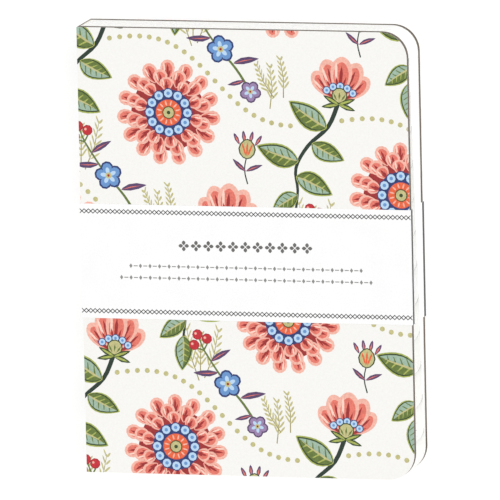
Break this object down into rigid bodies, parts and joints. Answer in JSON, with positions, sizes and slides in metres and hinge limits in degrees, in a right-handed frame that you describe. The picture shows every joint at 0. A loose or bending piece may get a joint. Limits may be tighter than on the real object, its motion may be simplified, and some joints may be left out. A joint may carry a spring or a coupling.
{
  "type": "address book",
  "caption": "Address book with flush board covers, rounded fore-edge corners, stepped alphabetical index tabs, floral printed cover paper and a slide-off paper belly band.",
  "frame": {"origin": "under the middle of the closed book, on the surface that it lies on", "axes": "+X from the spine to the fore-edge, +Y from the tail to the head, +Z from the back cover to the front cover"},
  "size_m": [0.1208, 0.16, 0.02],
  "materials": {
    "cover_paper": "printed matt paper",
    "greyboard": "raw cut board",
    "pastedown_paper": "uncoated paper",
    "binding_glue": "dry glue",
    "band_paper": "uncoated white paper",
    "index_paper": "uncoated heavy paper",
    "leaf_paper": "uncoated paper"
  },
  "bodies": {
    "root": {"back_board": "greyboard", "back_cover_paper": "cover_paper", "back_pastedown": "pastedown_paper", "spine_paper": "cover_paper", "spine_card": "greyboard", "spine_glue": "binding_glue"},
    "front_cover": {"front_board": "greyboard", "front_cover_paper": "cover_paper", "front_pastedown": "pastedown_paper"},
    "belly_band": {"band_back": "band_paper", "band_spine": "band_paper"},
    "belly_band_front": {"band_front": "band_paper"},
    "section_ab": {"index_leaf_ab": "index_paper", "address_leaves_ab": "leaf_paper"},
    "section_cd": {"index_leaf_cd": "index_paper", "address_leaves_cd": "leaf_paper"},
    "section_ef": {"index_leaf_ef": "index_paper", "address_leaves_ef": "leaf_paper"},
    "section_gh": {"index_leaf_gh": "index_paper", "address_leaves_gh": "leaf_paper"},
    "section_ij": {"index_leaf_ij": "index_paper", "address_leaves_ij": "leaf_paper"},
    "section_kl": {"index_leaf_kl": "index_paper", "address_leaves_kl": "leaf_paper"},
    "section_mn": {"index_leaf_mn": "index_paper", "address_leaves_mn": "leaf_paper"},
    "section_op": {"index_leaf_op": "index_paper", "address_leaves_op": "leaf_paper"},
    "section_qr": {"index_leaf_qr": "index_paper", "address_leaves_qr": "leaf_paper"},
    "section_st": {"index_leaf_st": "index_paper", "address_leaves_st": "leaf_paper"},
    "section_uv": {"index_leaf_uv": "index_paper", "address_leaves_uv": "leaf_paper"},
    "section_wx": {"index_leaf_wx": "index_paper", "address_leaves_wx": "leaf_paper"},
    "section_yz": {"index_leaf_yz": "index_paper", "address_leaves_yz": "leaf_paper"}
  },
  "joints": [
    {"name": "front_cover_hinge", "type": "hinge", "parent": "root", "child": "front_cover", "pos_m": [-0.0604, 0, 0.02001], "axis": [0, -1, 0], "range_deg": [0, 175]},
    {"name": "belly_band_slide", "type": "slide", "parent": "root", "child": "belly_band", "axis": [0, 1, 0], "range_m": [-0.0968, 0.1043]},
    {"name": "belly_band_front_slide", "type": "slide", "parent": "front_cover", "child": "belly_band_front", "axis": [0, 1, 0], "range_m": [-0.0968, 0.1043]},
    {"name": "section_ab_turn", "type": "hinge", "parent": "root", "child": "section_ab", "pos_m": [-0.0604, 0, 0.02001], "axis": [0, -1, 0], "range_deg": [0, 170.1]},
    {"name": "section_cd_turn", "type": "hinge", "parent": "root", "child": "section_cd", "pos_m": [-0.0604, 0, 0.02001], "axis": [0, -1, 0], "range_deg": [0, 166.6]},
    {"name": "section_ef_turn", "type": "hinge", "parent": "root", "child": "section_ef", "pos_m": [-0.0604, 0, 0.02001], "axis": [0, -1, 0], "range_deg": [0, 162.4]},
    {"name": "section_gh_turn", "type": "hinge", "parent": "root", "child": "section_gh", "pos_m": [-0.0604, 0, 0.02001], "axis": [0, -1, 0], "range_deg": [0, 156.8]},
    {"name": "section_ij_turn", "type": "hinge", "parent": "root", "child": "section_ij", "pos_m": [-0.0604, 0, 0.02001], "axis": [0, -1, 0], "range_deg": [0, 149.8]},
    {"name": "section_kl_turn", "type": "hinge", "parent": "root", "child": "section_kl", "pos_m": [-0.0604, 0, 0.02001], "axis": [0, -1, 0], "range_deg": [0, 140]},
    {"name": "section_mn_turn", "type": "hinge", "parent": "root", "child": "section_mn", "pos_m": [-0.0604, 0, 0.02001], "axis": [0, -1, 0], "range_deg": [0, 28]},
    {"name": "section_op_turn", "type": "hinge", "parent": "root", "child": "section_op", "pos_m": [-0.0604, 0, 0.02001], "axis": [0, -1, 0], "range_deg": [0, 18.9]},
    {"name": "section_qr_turn", "type": "hinge", "parent": "root", "child": "section_qr", "pos_m": [-0.0604, 0, 0.02001], "axis": [0, -1, 0], "range_deg": [0, 13.3]},
    {"name": "section_st_turn", "type": "hinge", "parent": "root", "child": "section_st", "pos_m": [-0.0604, 0, 0.02001], "axis": [0, -1, 0], "range_deg": [0, 9.1]},
    {"name": "section_uv_turn", "type": "hinge", "parent": "root", "child": "section_uv", "pos_m": [-0.0604, 0, 0.02001], "axis": [0, -1, 0], "range_deg": [0, 6.3]},
    {"name": "section_wx_turn", "type": "hinge", "parent": "root", "child": "section_wx", "pos_m": [-0.0604, 0, 0.02001], "axis": [0, -1, 0], "range_deg": [0, 3.5]},
    {"name": "section_yz_turn", "type": "hinge", "parent": "root", "child": "section_yz", "pos_m": [-0.0604, 0, 0.02001], "axis": [0, -1, 0], "range_deg": [0, 1.4]}
  ],
  "couplings": [
    {"joint": "belly_band_front_slide", "follows": "belly_band_slide", "ratio": 1},
    {"joint": "section_ab_turn", "follows": "front_cover_hinge", "ratio": 0.972},
    {"joint": "section_cd_turn", "follows": "front_cover_hinge", "ratio": 0.952},
    {"joint": "section_ef_turn", "follows": "front_cover_hinge", "ratio": 0.928},
    {"joint": "section_gh_turn", "follows": "front_cover_hinge", "ratio": 0.896},
    {"joint": "section_ij_turn", "follows": "front_cover_hinge", "ratio": 0.856},
    {"joint": "section_kl_turn", "follows": "front_cover_hinge", "ratio": 0.8},
    {"joint": "section_mn_turn", "follows": "front_cover_hinge", "ratio": 0.16},
    {"joint": "section_op_turn", "follows": "front_cover_hinge", "ratio": 0.108},
    {"joint": "section_qr_turn", "follows": "front_cover_hinge", "ratio": 0.076},
    {"joint": "section_st_turn", "follows": "front_cover_hinge", "ratio": 0.052},
    {"joint": "section_uv_turn", "follows": "front_cover_hinge", "ratio": 0.036},
    {"joint": "section_wx_turn", "follows": "front_cover_hinge", "ratio": 0.02},
    {"joint": "section_yz_turn", "follows": "front_cover_hinge", "ratio": 0.008}
  ]
}
